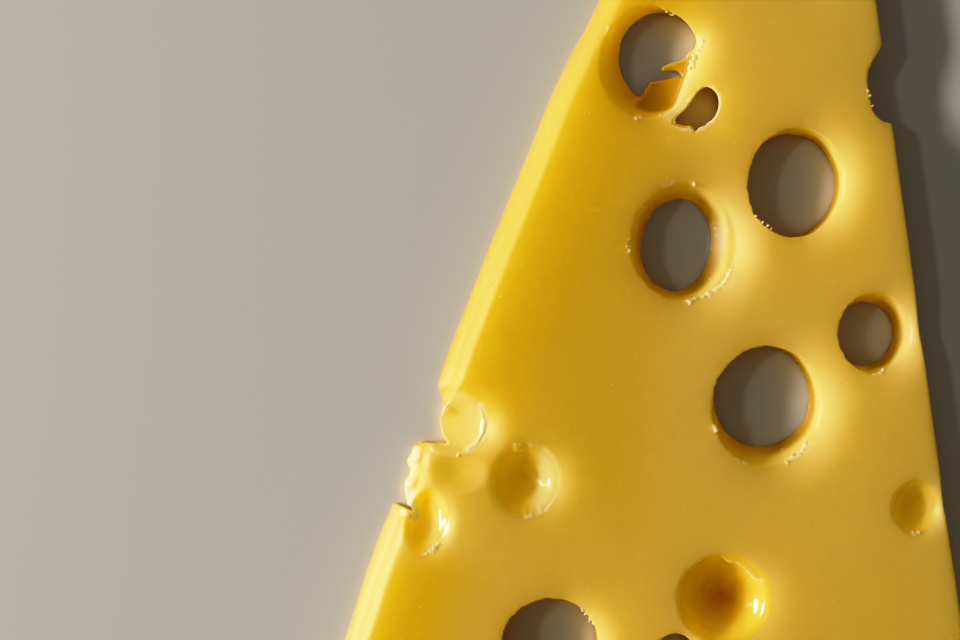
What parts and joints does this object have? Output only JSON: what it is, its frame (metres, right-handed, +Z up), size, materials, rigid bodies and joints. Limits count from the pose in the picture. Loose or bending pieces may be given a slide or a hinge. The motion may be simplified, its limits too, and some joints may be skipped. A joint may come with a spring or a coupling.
{
  "type": "cheese wedge slice",
  "caption": "Thin wedge-shaped slice of semi-hard golden cheese with large round eyes, some open right through, some blind, and a torn place on its left side.",
  "frame": {"origin": "middle of the slice's bounding box, on its underside", "axes": "+Y from the curved outer end to the pointed tip, +Z up through the slice's thickness, +X to the right seen from above"},
  "size_m": [0.102, 0.1996, 0.0042],
  "materials": {
    "cheese": "moist, softly glossy cut cheese"
  },
  "bodies": {
    "root": {"cheese_slice": "cheese"}
  },
  "joints": []
}
